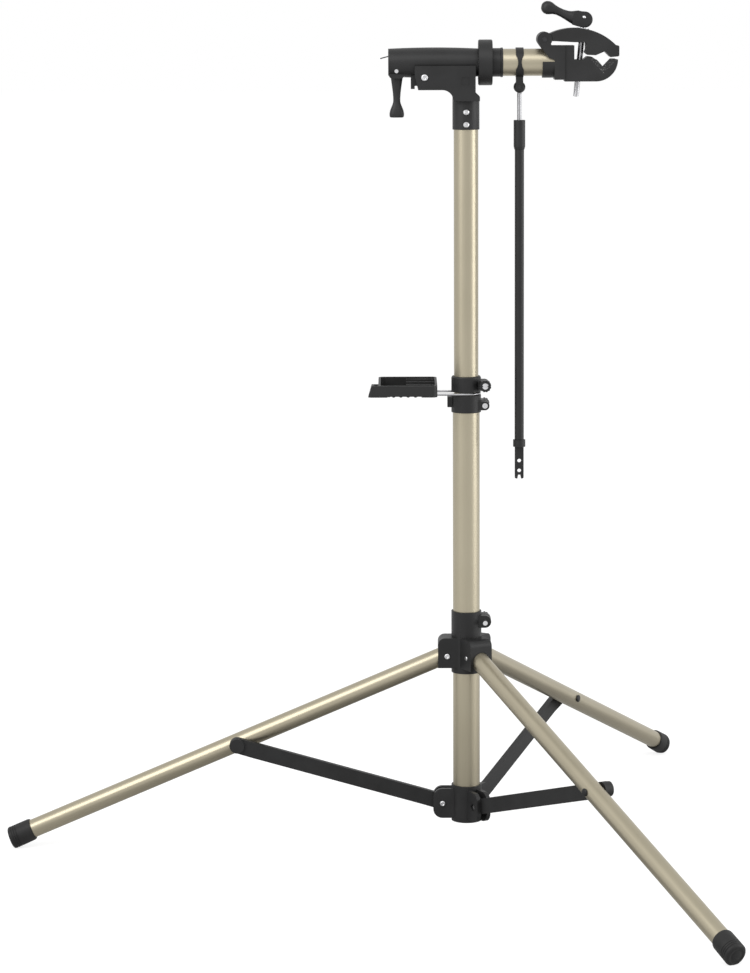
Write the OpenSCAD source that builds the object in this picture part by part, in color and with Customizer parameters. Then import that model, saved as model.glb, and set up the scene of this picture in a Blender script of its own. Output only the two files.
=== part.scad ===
// Bicycle repair stand: folding tripod, telescoping mast, turning clamp head, tool tray, handlebar holder
// Millimetres, +Z up. The origin is on the mast's axis at floor level and the clamp arm points along +X.

/* [Mast] */
// Outside diameter of the outer mast tube
mast_d = 35; // [34:0.5:37]
// Wall of the outer mast tube
mast_wall = 1.5; // [1.2:0.1:1.8]
// Height of the outer tube's lower end
mast_bottom_z = 40; // [38:1:44]
// Height of the outer tube's upper end
mast_top_z = 596; // [580:1:640]
// Wall of the upper mast tube
upper_wall = 1.5; // [1:0.1:2]
// Height of the upper tube's lower end, inside the outer tube
upper_bottom_z = 60; // [50:1:90]
// Radial play between the two mast tubes
mast_play = 0.15; // [0.1:0.05:0.25]

/* [Collars] */
// Wall of the mast collar round the outer tube
collar_wall = 1.8; // [1.6:0.1:3]
// Height of the mast collar below the tube's end
mast_collar_drop = 19; // [17:0.5:24]
// Thickness of the mast collar's lip over the tube's end
collar_lip = 3.7; // [2.5:0.1:5]
// Height of the stop collar
stop_collar_h = 20.6; // [18:0.1:24]
// Diameter of the clamp bolts of both collars and the leg hub
clamp_bolt_d = 6; // [5:0.5:6.5]
// Distance of the clamp bolts from the mast's axis
clamp_bolt_x = 24.2; // [24:0.1:26]
// Diameter of the fluted knob on the stop collar
stop_knob_d = 15.4; // [14:0.2:17]
// Diameter of the knobs behind the mast collar and the leg hub
rear_knob_d = 13; // [11:0.5:15]

/* [Legs] */
// Outside diameter of a leg tube
leg_d = 24; // [22:0.5:24]
// Wall of a leg tube
leg_wall = 1.2; // [1:0.1:1.6]
// Length of a leg from its pivot to the end of its foot cap
leg_len = 625; // [590:1:660]
// Slope of an opened leg below the horizontal, in degrees
leg_fall = 23.05; // [22:0.05:24]
// Distance of the leg pivots from the mast's axis
leg_pivot_r = 25.3; // [25.2:0.1:27]
// Outside diameter of a foot cap
cap_d = 28; // [27:0.5:32]
// Length of a foot cap
cap_len = 32; // [26:1:38]
// Depth of the flat worn into each foot cap where it meets the floor
foot_flat = 0.5; // [0.3:0.1:0.8]
// Travel of the leg hub up the mast when the legs fold
hub_travel = 255; // [200:1:256]

/* [Struts] */
// Distance along a leg from its pivot to the strut's rivet
strut_at = 299; // [280:1:320]
// Distance of the strut pivots from the mast's axis
strut_pivot_r = 31.5; // [31.2:0.1:34]
// Height of the strut pivots
strut_pivot_z = 60; // [58:0.5:62]
// Width of a strut
strut_w = 20; // [18:0.5:21]
// Thickness of a strut
strut_t = 8; // [6:0.5:9]

/* [Head] */
// Height of the arm's axis
arm_z = 1030; // [1020:1:1060]
// Largest diameter of the head barrel
barrel_d = 39; // [37:0.5:41]
// Rear end of the barrel, along X
barrel_x0 = -100; // [-104:1:-98]
// Front end of the barrel, along X
barrel_x1 = 15.5; // [14:0.5:18]
// Diameter of the spindle that turns in the barrel
spindle_d = 20; // [16:0.5:22]
// Thickness of the bracket's cheeks
cheek_t = 4.6; // [3.5:0.1:6]
// Height of the bracket's tube socket
socket_h = 41; // [38:1:46]
// Wall of the bracket's tube socket
socket_wall = 1.5; // [1.3:0.1:3]
// Length of the rear quick lever below its pin
quick_lever_len = 60; // [50:1:66]

/* [Arm and clamp] */
// Outside diameter of the arm tube
arm_d = 35; // [34:0.5:36]
// Wall of the arm tube
arm_wall = 2; // [1.5:0.1:2.5]
// Diameter of the index ring
ring_d = 58.8; // [54:0.2:62]
// Width of the index ring
ring_w = 18; // [17:0.5:22]
// Width of the arm collar
arm_collar_w = 13.6; // [11:0.1:15]
// Width of the clamp body and the jaws
jaw_w = 40; // [38:1:46]
// Diameter of the clamp rod
clamp_rod_d = 8; // [7:0.5:8]
// Lean of the clamp rod towards the jaws' mouth, in degrees
clamp_rod_lean = 5.6; // [4.6:0.1:6]
// Opening angle of the upper jaw, in degrees
jaw_open = 22; // [16:1:22]
// Thickness of the rubber pad in the lower jaw
pad_t = 5.5; // [4:0.1:6]

/* [Tray] */
// Length of the tray along X
tray_len = 76; // [70:1:90]
// Depth of the tray along Y
tray_depth = 100; // [90:1:110]
// Height of the tray
tray_h = 15; // [13:0.5:18]
// Wall of the tray
tray_wall = 3; // [2.5:0.1:4]
// Distance of the tray's near wall from the mast's axis
tray_x = 38; // [36:1:50]
// Diameter of the tray's wire
wire_d = 3; // [2.5:0.1:3.4]

/* [Handlebar holder] */
// Distance of the holder from the mast's axis, along the arm
holder_x = 68.9; // [66:0.1:76]
// Drop of the fork pin below the arm's axis
holder_drop = 31.7; // [30:0.1:36]
// Diameter of the bright inner rod
inner_rod_d = 6; // [5:0.5:7]
// Diameter of the black tube
holder_tube_d = 12; // [11:0.5:13]
// Diameter of the lock sleeve
sleeve_d = 15; // [14:0.5:17]
// Length of the holder from the fork pin to its forked tip
holder_len = 509; // [480:1:530]
// Width of the perforated end
end_w = 11.5; // [10:0.5:12.5]

/* [Clearances] */
// Radial clearance of pins, bolts and spindles that turn
run_gap = 0.05; // [0.03:0.01:0.09]
// Gap between faces of pieces that move past each other
face_gap = 0.4; // [0.3:0.1:0.5]
// Radial clearance of pieces that are fixed in one another
fix_gap = 0.1; // [0.05:0.05:0.15]

/* [Hidden] */
$fn = 64;
far = 400;
side_list = [-1, 1];
leg_azimuth = [180, 60, 300];
plastic = [0.2, 0.2, 0.205];
dark_plastic = [0.13, 0.13, 0.135];
rubber = [0.1, 0.1, 0.1];
champagne = [0.72, 0.68, 0.58];
steel = [0.78, 0.78, 0.8];

mast_r = mast_d / 2;
upper_r = mast_r - mast_wall - mast_play;
bolt_r = clamp_bolt_d / 2;

// Collars: mast collar, wire loop and stop collar are stacked on the end of the outer tube
collar_r = mast_r + collar_wall;
mast_collar_z = mast_top_z - mast_collar_drop;
mast_collar_top = mast_top_z + collar_lip;
wire_r = wire_d / 2;
wire_z = mast_collar_top + face_gap + wire_r;
stop_collar_z = wire_z + wire_r + face_gap;
mast_bolt_z = mast_collar_z + 9;
stop_bolt_z = stop_collar_z + 9.5;
boss_gap = 3;
boss_reach = 12;
knob_flute_r = 1.3;

// Legs: the pivot height follows from the legs' slope, so that the feet meet the floor
leg_r = leg_d / 2;
cap_r = cap_d / 2;
leg_pivot_z = leg_len * sin(leg_fall) + cap_r * cos(leg_fall) - foot_flat;
leg_pin_r = 3;
leg_screw_head_r = 4.3;
plug_r = 4.6;
leg_start = leg_pin_r + 0.3;
hub_r = mast_r + 2.15;
sleeve_r = max(hub_r, collar_r);
knob_near_x = clamp_bolt_x - rear_knob_d / 2 - face_gap;
boss_back = max(boss_reach, sqrt(max(0, sleeve_r ^ 2 - knob_near_x ^ 2)));
hub_z0 = leg_pivot_z - 23;
hub_z1 = leg_pivot_z + 58;
hub_bolt_z = leg_pivot_z + 45;
box_half = leg_r + face_gap + 3.7;
box_r = leg_pivot_r + leg_r;
box_z0 = leg_pivot_z - 15.5;
box_z1 = leg_pivot_z + 24;
cavity_r = hub_r + 0.5;

// Struts: their length follows from the two pivots
low_hub_r = mast_r + 2.25;
low_hub_z0 = mast_bottom_z - 4;
low_hub_z1 = strut_pivot_z + 24;
ear_half = strut_t / 2 + face_gap + 5.6;
ear_reach = 12.3;
ear_z_half = 19.5;
ear_round = 12;
strut_pin_r = 3;
strut_head_r = 4.2;
rivet_r = 3.5;
rivet_head_r = 5;
rivet_head_h = 2.5;
strut_end_r = strut_w / 2;
strut_boss_r = strut_end_r - 0.5;
strut_boss_h = 4.2;
strut_leg_r = leg_pivot_r + strut_at * cos(leg_fall);
strut_leg_z = leg_pivot_z - strut_at * sin(leg_fall);
strut_dr = strut_leg_r - strut_pivot_r;
strut_dz = strut_leg_z - strut_pivot_z;
strut_len = norm([strut_dr, strut_dz]);
strut_rise = atan2(strut_dz, strut_dr);
strut_shift = leg_r + face_gap + strut_t / 2;
strut_flat = strut_end_r + 16;

// Folded slope of the legs, from the triangle of hub, leg and strut
fold_drop = leg_pivot_z + hub_travel - strut_pivot_z;
fold_out = strut_pivot_r - leg_pivot_r;
fold_side = norm([fold_drop, fold_out]);
fold_cos = (strut_at ^ 2 + fold_side ^ 2 - strut_len ^ 2) / (2 * strut_at * fold_side);
fold_fall = atan2(fold_drop, fold_out) - acos(fold_cos);

// Head: the bracket sits on the upper tube and the barrel lies between its cheeks
barrel_r = barrel_d / 2;
barrel_crown = 1.5;
cheek_in = barrel_r + face_gap;
cheek_out = cheek_in + cheek_t;
cheek_top_z = arm_z - 3.7;
cheek_low_z = arm_z - 34.7;
cheek_x0 = -66;
cheek_x1 = 12;
saddle_z = arm_z - barrel_r - face_gap;
socket_r = upper_r + fix_gap + socket_wall;
socket_top_z = arm_z - 45;
socket_z = socket_top_z - socket_h;
upper_top_z = socket_top_z - 2;
tilt_x = -53.5;
tilt_z = arm_z - 18.6;
tilt_bolt_r = 4;
lug_half = 10;
neck_fillet = 14.5;
socket_screw_r = 2.5;
socket_head_r = 4.1;
screw_seat = 0.6;
socket_screw_z = [socket_z + 6.6, socket_z + 22.8];
lever_x = barrel_x0 + 10.6;
lever_z = arm_z - 10.5;
lever_pin_r = 2.5;
lever_half = 7;
lobe_half = lever_half + face_gap + 4.2;
lever_pin_half = sqrt(barrel_r ^ 2 - (arm_z - lever_z) ^ 2) - 0.6;
cam_r = 8.4;
cam_off = 1;
plunger_x = lever_x + cam_off + cam_r + face_gap;
plunger_len = 7;
plunger_r = 11;
spindle_r = spindle_d / 2;
spindle_x0 = plunger_x + plunger_len + face_gap;
bush_r = spindle_r + 4;
bush_len = 14;
tail_wire_r = 0.75;
tail_wire_z = arm_z + 8;

// Arm: ring, collar, tube and clamp follow one another along X
ring_x = barrel_x1 + face_gap;
ring_r = ring_d / 2;
arm_x0 = ring_x + ring_w;
arm_r = arm_d / 2;
arm_bore_r = arm_r - arm_wall;
boss_len = 26;
collar_lip_w = 3;
arm_collar_r = arm_r + 0.9;
jaw_half = jaw_w / 2;
knuckle_half = jaw_half - 7.4;
socket_x = 98;
arm_x1 = 118;
body_sleeve_r = arm_r + fix_gap + 2.4;
jaw_x = 100.6;
jaw_z = arm_z + 29.6;
jaw_pin_r = 3;
jaw_boss_r = 9.6;
post_x1 = 138.6;
post_top_z = arm_z + 21.6;
post_recess_x = 126.5;
post_recess = 2.5;
pad_half = jaw_half - post_recess;
slot_floor_z = arm_z + 3.5;
body_low_z = arm_z - 24.5;
nose_r = 28;
nose_x = 166.5;
vee_x = 176;
vee_z = arm_z - 6.3;
arch_r = 74;
arch_x = 139;
arch_top_z = arm_z + 44.1;
jaw_under_z = arm_z + 25.8;
rod_x = 147.4;
rod_z = arm_z + 16.1;
clamp_rod_r = clamp_rod_d / 2;
rod_low = 60;
cam_pin_up = 41.7;
cam_pin_r = 3;
cam_head_r = 10.5;
cam_head_drop = 3;
washer_t = 1.2;
washer_r = 8.4;
seat_up = cam_pin_up - cam_head_r - cam_head_drop - 2 * face_gap - washer_t;
lever_width = 9;
eye_half = 3.6;
nut_across = 13;
nut_h = 6.5;
nut_z = body_low_z + 6;
rod_slot_half = clamp_rod_r + 0.6;
rod_slot_len = jaw_open * 0.62;

// Tray
tray_z = wire_z + 0.4;
tray_shelf_len = 13;
tray_shelf_depth = 21;
wire_loop_r = upper_r + face_gap + wire_r;
tray_draft = 4.4;
tray_rib = 2;
tray_rib_h = tray_h - 0.6;
tray_step_h = tray_h * 0.6;
rib_pitch = tray_depth * 0.285;
scallop_count = 5;
scallop_pitch = 9.4;
scallop_r = 5.2;
scallop_z = tray_z + 1.6 - scallop_r;

// Handlebar holder
fork_z = arm_z - holder_drop;
fork_r = 8;
fork_half = 6;
fork_pin_r = 2;
eye_t = 4.4;
strap_t = 1.6;
strap_w = 10;
strap_waist = 4.6;
sleeve_top = 42.5;
sleeve_len = 34;
holder_tube_bore = inner_rod_d / 2 + 1.2;
inner_rod_len = 300;
end_collar_len = 9;
end_len = 42;
end_t = 4;
end_hole_r = 2.5;

// Moves a piece to a leg's azimuth: X points outwards, Y runs anticlockwise round the mast
module at_leg(i) rotate([0, 0, leg_azimuth[i]]) children();

// Puts +Z along the opened leg, with the leg's pivot at the origin
module along_leg() translate([leg_pivot_r, 0, leg_pivot_z]) rotate([0, 90 + leg_fall, 0]) children();

// Puts +X along the strut, with the strut's lower pivot at the origin
module along_strut() translate([strut_pivot_r, 0, strut_pivot_z]) rotate([0, -strut_rise, 0]) children();

// Extrudes a drawing of X and Z from y0 to y1
module side_slab(y0, y1) translate([0, y1, 0]) rotate([90, 0, 0]) linear_extrude(y1 - y0) children();

// Cylinder along Y through x, z
module bar_y(x, z, r, y0, y1) translate([x, y1, z]) rotate([90, 0, 0]) cylinder(r = r, h = y1 - y0);

// Cylinder along the arm's axis
module bar_x(r, x0, x1) translate([x0, 0, arm_z]) rotate([0, 90, 0]) cylinder(r = r, h = x1 - x0);

// Upright cylinder between two heights
module post(r, z0, z1) translate([0, 0, z0]) cylinder(r = r, h = z1 - z0);

// Rectangle between two corners with rounded corners
module round_rect(x0, y0, x1, y1, r) {
  translate([x0 + r, y0]) square([x1 - x0 - 2 * r, y1 - y0]);
  translate([x0, y0 + r]) square([x1 - x0, y1 - y0 - 2 * r]);
  for (x = [x0 + r, x1 - r], y = [y0 + r, y1 - r]) translate([x, y]) circle(r);
}

// Rounds off the right hand end of a rectangle
module tongue_2d(x0, x1, z0, z1, r) {
  translate([x0, z0]) square([x1 - r - x0, z1 - z0]);
  translate([x0, z0 + r]) square([x1 - x0, z1 - z0 - 2 * r]);
  for (z = [z0 + r, z1 - r]) translate([x1 - r, z]) circle(r);
}

// Fluted grip of a knob, along Y from y0 to y1
module knob_grip(x, z, d, y0, y1, flutes) {
  difference() {
    bar_y(x, z, d / 2, y0, y1);
    for (i = [0 : flutes - 1]) {
      a = 360 * i / flutes;
      bar_y(x + d / 2 * cos(a) * 1.08, z + d / 2 * sin(a) * 1.08, knob_flute_r, y0 - 1, y1 + 1);
    }
    bar_y(x, z, bolt_r, y0 - 1, y1 + 1);
  }
}

// Split ears that a clamp bolt pulls together, on the +X side of a collar
module clamp_ears(z, boss_r, start_r) {
  for (s = side_list) {
    y0 = s > 0 ? boss_gap / 2 : -boss_reach;
    y1 = s > 0 ? boss_back : -boss_gap / 2;
    bar_y(clamp_bolt_x, z, boss_r, y0, y1);
    translate([start_r, y0, z - boss_r]) cube([clamp_bolt_x - start_r, y1 - y0, 2 * boss_r]);
  }
}

module outer_tube() color(champagne) difference() {
  post(mast_r, mast_bottom_z, mast_top_z);
  post(mast_r - mast_wall, mast_bottom_z - 1, mast_top_z + 1);
}

module lower_hub() color(plastic) difference() {
  union() {
    post(low_hub_r, low_hub_z0, low_hub_z1);
    for (i = [0 : 2], s = side_list) at_leg(i) {
      y0 = s > 0 ? strut_t / 2 + face_gap : -ear_half;
      y1 = s > 0 ? ear_half : -strut_t / 2 - face_gap;
      z0 = strut_pivot_z - ear_z_half;
      z1 = strut_pivot_z + ear_z_half;
      side_slab(y0, y1) tongue_2d(10, strut_pivot_r + ear_reach, z0, z1, ear_round);
    }
  }
  post(mast_r + fix_gap, mast_bottom_z, low_hub_z1 + 1);
  for (i = [0 : 2]) at_leg(i) {
    bar_y(strut_pivot_r, strut_pivot_z, strut_pin_r + run_gap, -ear_half - 1, ear_half + 1);
    bar_y(strut_pivot_r, strut_pivot_z, strut_head_r + 0.3, -ear_half - 1, -ear_half + 2.5);
  }
}

module strut_screws() color(steel) for (i = [0 : 2]) at_leg(i) difference() {
  union() {
    bar_y(strut_pivot_r, strut_pivot_z, strut_pin_r, -ear_half + 2, ear_half);
    bar_y(strut_pivot_r, strut_pivot_z, strut_head_r, ear_half, ear_half + 2.4);
  }
  bar_y(strut_pivot_r, strut_pivot_z, strut_head_r / 2, ear_half + 1.2, ear_half + 4);
}

module mast_collar() color(plastic) difference() {
  union() {
    post(collar_r, mast_collar_z, mast_collar_top);
    clamp_ears(mast_bolt_z, bolt_r + 2.8, 10);
    translate([-mast_r - 7, -6, mast_bolt_z - 2.4]) cube([mast_r, 12, 13.5]);
  }
  post(mast_r + fix_gap, mast_collar_z - 1, mast_top_z);
  post(upper_r + face_gap, mast_collar_z - 1, mast_collar_top + 1);
  translate([0, -boss_gap / 2, mast_collar_z - 1]) cube([far, boss_gap, mast_collar_drop + 1]);
  bar_y(clamp_bolt_x, mast_bolt_z, bolt_r + run_gap, -boss_reach - 1, boss_back + 1);
  bar_y(clamp_bolt_x, mast_bolt_z, bolt_r + 0.6, -boss_reach - 1, -boss_reach + 3);
}

module mast_bolt() color(steel) {
  bar_y(clamp_bolt_x, mast_bolt_z, bolt_r, -boss_reach + 3 - face_gap, boss_back + 12);
  difference() {
    bar_y(clamp_bolt_x, mast_bolt_z, bolt_r + 0.5, -boss_reach, -boss_reach + 3 - face_gap);
    bar_y(clamp_bolt_x, mast_bolt_z, bolt_r / 2, -boss_reach - 1, -boss_reach + 1.2);
  }
}

module mast_knob() color(plastic)
  knob_grip(clamp_bolt_x, mast_bolt_z, rear_knob_d, boss_back + face_gap, boss_back + 15, 10);

module leg_hub() color(plastic) difference() {
  union() {
    post(hub_r, hub_z0, hub_z1);
    clamp_ears(hub_bolt_z, 8, 10);
    for (i = [0 : 2]) at_leg(i) side_slab(-box_half, box_half) {
      translate([10, box_z0]) square([box_r - 10, box_z1 - box_z0 - 9]);
      translate([10, box_z0]) square([box_r - 19, box_z1 - box_z0]);
      translate([box_r - 9, box_z1 - 9]) circle(9);
    }
  }
  post(mast_r + run_gap, hub_z0 - 1, hub_z1 + 1);
  translate([0, -boss_gap / 2, hub_bolt_z - 14]) cube([far, boss_gap, far]);
  bar_y(clamp_bolt_x, hub_bolt_z, bolt_r + run_gap, -boss_reach - 1, boss_back + 1);
  for (i = [0 : 2]) at_leg(i) {
    bar_y(leg_pivot_r, leg_pivot_z, leg_pin_r + run_gap, -box_half - 1, box_half + 1);
    intersection() {
      translate([cavity_r, -far / 2, 0]) cube([far, far, far * 2]);
      along_leg() {
        translate([0, 0, -20]) cylinder(r = leg_r + face_gap, h = 80);
        translate([0, -leg_r - face_gap, -20]) cube([60, 2 * (leg_r + face_gap), 80]);
      }
    }
  }
}

module leg_screws() color(steel) for (i = [0 : 2]) at_leg(i) difference() {
  union() {
    bar_y(leg_pivot_r, leg_pivot_z, leg_pin_r, -box_half - 0.6, box_half);
    bar_y(leg_pivot_r, leg_pivot_z, leg_screw_head_r, box_half, box_half + 2.2);
  }
  bar_y(leg_pivot_r, leg_pivot_z, leg_screw_head_r / 2, box_half + 1, box_half + 4);
}

module hub_bolt() color(steel)
  bar_y(clamp_bolt_x, hub_bolt_z, bolt_r, -boss_reach - 10, boss_back + 12);

module hub_knob() color(plastic)
  knob_grip(clamp_bolt_x, hub_bolt_z, rear_knob_d, boss_back + face_gap, boss_back + 15, 10);

// Takes off the corner of a leg's end that would meet the hub when the leg is folded
module fold_mitre() rotate([0, -fold_fall, 0])
  translate([-far / 2, -far / 2, cavity_r + face_gap - leg_pivot_r - far]) cube(far);

module leg_tube(i) color(champagne) at_leg(i) along_leg() difference() {
  translate([0, 0, leg_start]) cylinder(r = leg_r, h = leg_len - leg_start - 4);
  cylinder(r = leg_r - leg_wall, h = far * 3, center = true);
  translate([0, 0, strut_at]) bar_y(0, 0, rivet_r + fix_gap, -far / 2, far / 2);
  fold_mitre();
}

module leg_plug(i) color(dark_plastic) at_leg(i) along_leg() difference() {
  union() {
    bar_y(0, 0, plug_r, -leg_r + 2, leg_r - 2);
    translate([-plug_r, -leg_r + 2, 0]) cube([2 * plug_r, leg_d - 4, leg_start]);
    difference() {
      translate([0, 0, leg_start]) cylinder(r = leg_r - leg_wall - fix_gap, h = 34);
      fold_mitre();
    }
  }
  bar_y(0, 0, leg_pin_r + run_gap, -far / 2, far / 2);
}

module foot_cap(i) color(rubber) difference() {
  at_leg(i) along_leg() difference() {
    translate([0, 0, leg_len - cap_len]) cylinder(r = cap_r, h = cap_len);
    translate([0, 0, leg_len - cap_len - 1]) cylinder(r = leg_r + fix_gap, h = cap_len - 3);
    translate([0, 0, leg_len - cap_len]) difference() {
      cylinder(r = cap_r + 1, h = 3);
      cylinder(r1 = cap_r - 1, r2 = cap_r, h = 3);
    }
  }
  translate([-leg_len * 2, -leg_len * 2, -far]) cube([leg_len * 4, leg_len * 4, far]);
}

module leg_rivet(i) color(dark_plastic) at_leg(i) along_leg() translate([0, 0, strut_at]) {
  bar_y(0, 0, rivet_r, -leg_r, leg_r);
  bar_y(0, 0, rivet_head_r, -leg_r - rivet_head_h, -leg_r);
}

// Flat bar that leaves the lower hub on the leg's line and ends beside the leg
module strut(i) {
  half = strut_t / 2;
  bend_x0 = ear_reach + 12;
  bend_x1 = strut_len - strut_flat;
  color(plastic) at_leg(i) along_strut() difference() {
    union() {
      intersection() {
        translate([0, 0, -strut_w / 2]) linear_extrude(strut_w) polygon([
          [-strut_w, -half], [bend_x0, -half], [bend_x1, strut_shift - half],
          [strut_len + strut_w, strut_shift - half], [strut_len + strut_w, strut_shift + half],
          [bend_x1, strut_shift + half], [bend_x0, half], [-strut_w, half]
        ]);
        side_slab(-far, far) {
          for (x = [0, strut_len]) translate([x, 0]) circle(strut_end_r);
          translate([0, -strut_end_r]) square([strut_len, strut_w]);
        }
      }
      bar_y(strut_len, 0, strut_boss_r, strut_shift, strut_shift + half + strut_boss_h);
    }
    bar_y(0, 0, strut_pin_r + run_gap, -far, far);
  }
}

module upper_tube() color(champagne) difference() {
  post(upper_r, upper_bottom_z, upper_top_z);
  post(upper_r - upper_wall, upper_bottom_z - 1, upper_top_z + 1);
  for (z = socket_screw_z) bar_y(0, z, socket_screw_r + fix_gap, -far, far);
}

module stop_collar() color(plastic) difference() {
  union() {
    post(collar_r, stop_collar_z, stop_collar_z + stop_collar_h - 2);
    translate([0, 0, stop_collar_z + stop_collar_h - 2])
      cylinder(r1 = collar_r, r2 = collar_r - 1.2, h = 2);
    clamp_ears(stop_bolt_z, bolt_r + 2.8, 10);
  }
  post(upper_r + run_gap, stop_collar_z - 1, stop_collar_z + stop_collar_h + 1);
  translate([0, -boss_gap / 2, stop_collar_z - 1]) cube([far, boss_gap, stop_collar_h + 2]);
  bar_y(clamp_bolt_x, stop_bolt_z, bolt_r + run_gap, -boss_reach - 1, boss_back + 1);
}

module stop_bolt() color(steel) {
  bar_y(clamp_bolt_x, stop_bolt_z, bolt_r, -boss_reach - 12, boss_back + face_gap);
  bar_y(clamp_bolt_x, stop_bolt_z, bolt_r + 1.8, boss_back + face_gap, boss_back + 4.5);
}

module stop_knob() color(plastic)
  knob_grip(clamp_bolt_x, stop_bolt_z, stop_knob_d, -boss_reach - 13, -boss_reach - face_gap, 12);

module tray() color(dark_plastic) {
  x1 = -tray_x;
  x0 = x1 - tray_len;
  y_half = tray_depth / 2;
  shelf_x = x0 - tray_shelf_len;
  pocket_x = shelf_x + tray_draft + tray_wall;
  step_x = x1 - tray_len / 2;
  rib_h = wire_r + 1.2;
  difference() {
    union() {
      translate([0, 0, tray_z]) linear_extrude(tray_h) round_rect(x0, -y_half, x1, y_half, 7);
      translate([0, 0, tray_z]) linear_extrude(tray_h)
        round_rect(shelf_x, -y_half, x0 + 16, -y_half + tray_shelf_depth, 5);
      for (x = [x0 + 10, x1 - 12]) translate([x, -wire_loop_r - 4, tray_z - rib_h - 0.4])
        cube([5, 2 * wire_loop_r + 8, rib_h + 1]);
    }
    difference() {
      translate([0, 0, tray_z + tray_wall]) linear_extrude(tray_h)
        round_rect(x0 + tray_wall, -y_half + tray_wall, x1 - tray_wall, y_half - tray_wall, 5);
      translate([step_x - tray_rib, -y_half, tray_z]) cube([tray_rib, tray_depth, tray_step_h]);
      for (k = [-1 : 1]) translate([step_x - tray_rib, k * rib_pitch - tray_rib / 2, tray_z])
        cube([tray_len, tray_rib, tray_rib_h]);
    }
    translate([0, 0, tray_z + tray_wall]) linear_extrude(tray_h) round_rect(
      pocket_x, -y_half + tray_wall, x0, -y_half + tray_shelf_depth - tray_wall, 2.4);
    side_slab(-far, far) polygon([
      [shelf_x, tray_z], [shelf_x + tray_draft, tray_z + tray_h], [shelf_x + tray_draft, tray_z + tray_h + 1],
      [shelf_x - 1, tray_z + tray_h + 1], [shelf_x - 1, tray_z]
    ]);
    for (y = [-wire_loop_r, wire_loop_r]) translate([x0 + 8, y, wire_z]) rotate([0, 90, 0])
      cylinder(r = wire_r + run_gap, h = tray_len);
    for (i = [0 : scallop_count - 1])
      bar_y(x0 + 15 + i * scallop_pitch, scallop_z, scallop_r, -y_half - 1, -y_half + 8);
  }
}

// One bent wire: a half loop round the mast and two prongs under the tray
module tray_wire() color(steel) {
  tip = tray_x + tray_len - 9;
  translate([0, 0, wire_z]) rotate([0, 0, -90]) rotate_extrude(angle = 180)
    translate([wire_loop_r, 0]) circle(wire_r);
  for (s = side_list) translate([0, s * wire_loop_r, wire_z]) rotate([0, -90, 0])
    cylinder(r = wire_r, h = tip);
}

// Outline of the bracket's cheeks and neck, in X and Z
module bracket_2d() {
  neck_x = -socket_r + 1.1;
  polygon([
    [cheek_x0, cheek_top_z], [cheek_x0, tilt_z + 2], [cheek_x0 + 4.4, cheek_low_z],
    [neck_x, cheek_low_z], [neck_x, socket_top_z - 4], [socket_r, socket_top_z - 4],
    [socket_r, socket_top_z + 1.7], [cheek_x1, socket_top_z + 7], [cheek_x1, cheek_top_z]
  ]);
  difference() {
    translate([neck_x - neck_fillet, cheek_low_z - neck_fillet]) square(neck_fillet);
    translate([neck_x - neck_fillet, cheek_low_z - neck_fillet]) circle(neck_fillet);
  }
}

module head_bracket() color(plastic) difference() {
  union() {
    post(socket_r, socket_z, socket_top_z);
    side_slab(-cheek_out, -cheek_in) bracket_2d();
    side_slab(cheek_in, cheek_out) bracket_2d();
    side_slab(-cheek_out, cheek_out) intersection() {
      bracket_2d();
      translate([-socket_r + 1.1, socket_top_z - 4]) square([far, saddle_z - socket_top_z + 4]);
    }
  }
  post(upper_r + fix_gap, socket_z - 1, upper_top_z);
  for (z = socket_screw_z) {
    bar_y(0, z, socket_screw_r + fix_gap, -far, far);
    bar_y(0, z, socket_head_r + face_gap, -far, -socket_r + screw_seat);
    bar_y(0, z, socket_head_r + face_gap, socket_r - screw_seat, far);
  }
  bar_y(tilt_x, tilt_z, tilt_bolt_r + run_gap, -far, far);
  side_slab(-cheek_out - 1, -cheek_out + 0.8) translate([-6, tilt_z - 10]) square([10, 10]);
}

module bracket_screws() color(steel) for (z = socket_screw_z) {
  difference() {
    union() {
      bar_y(0, z, socket_screw_r, -socket_r, socket_r);
      bar_y(0, z, socket_head_r, -socket_r - 2.2, -socket_r + screw_seat);
    }
    bar_y(0, z, socket_screw_r / 2, -socket_r - 4, -socket_r - 1);
  }
  translate([0, socket_r + 2, z]) rotate([90, 30, 0])
    cylinder(r = socket_head_r, h = 2 + screw_seat, $fn = 6);
}

module tilt_bolt() color(steel) {
  difference() {
    union() {
      bar_y(tilt_x, tilt_z, tilt_bolt_r, -cheek_out, cheek_out);
      bar_y(tilt_x, tilt_z, tilt_bolt_r + 0.6, -cheek_out - 2.6, -cheek_out);
    }
    bar_y(tilt_x, tilt_z, tilt_bolt_r / 2, -cheek_out - 4, -cheek_out - 1.2);
  }
  translate([tilt_x, cheek_out + 5, tilt_z]) rotate([90, 0, 0])
    cylinder(r = tilt_bolt_r + 3, h = 5, $fn = 6);
}

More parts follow.
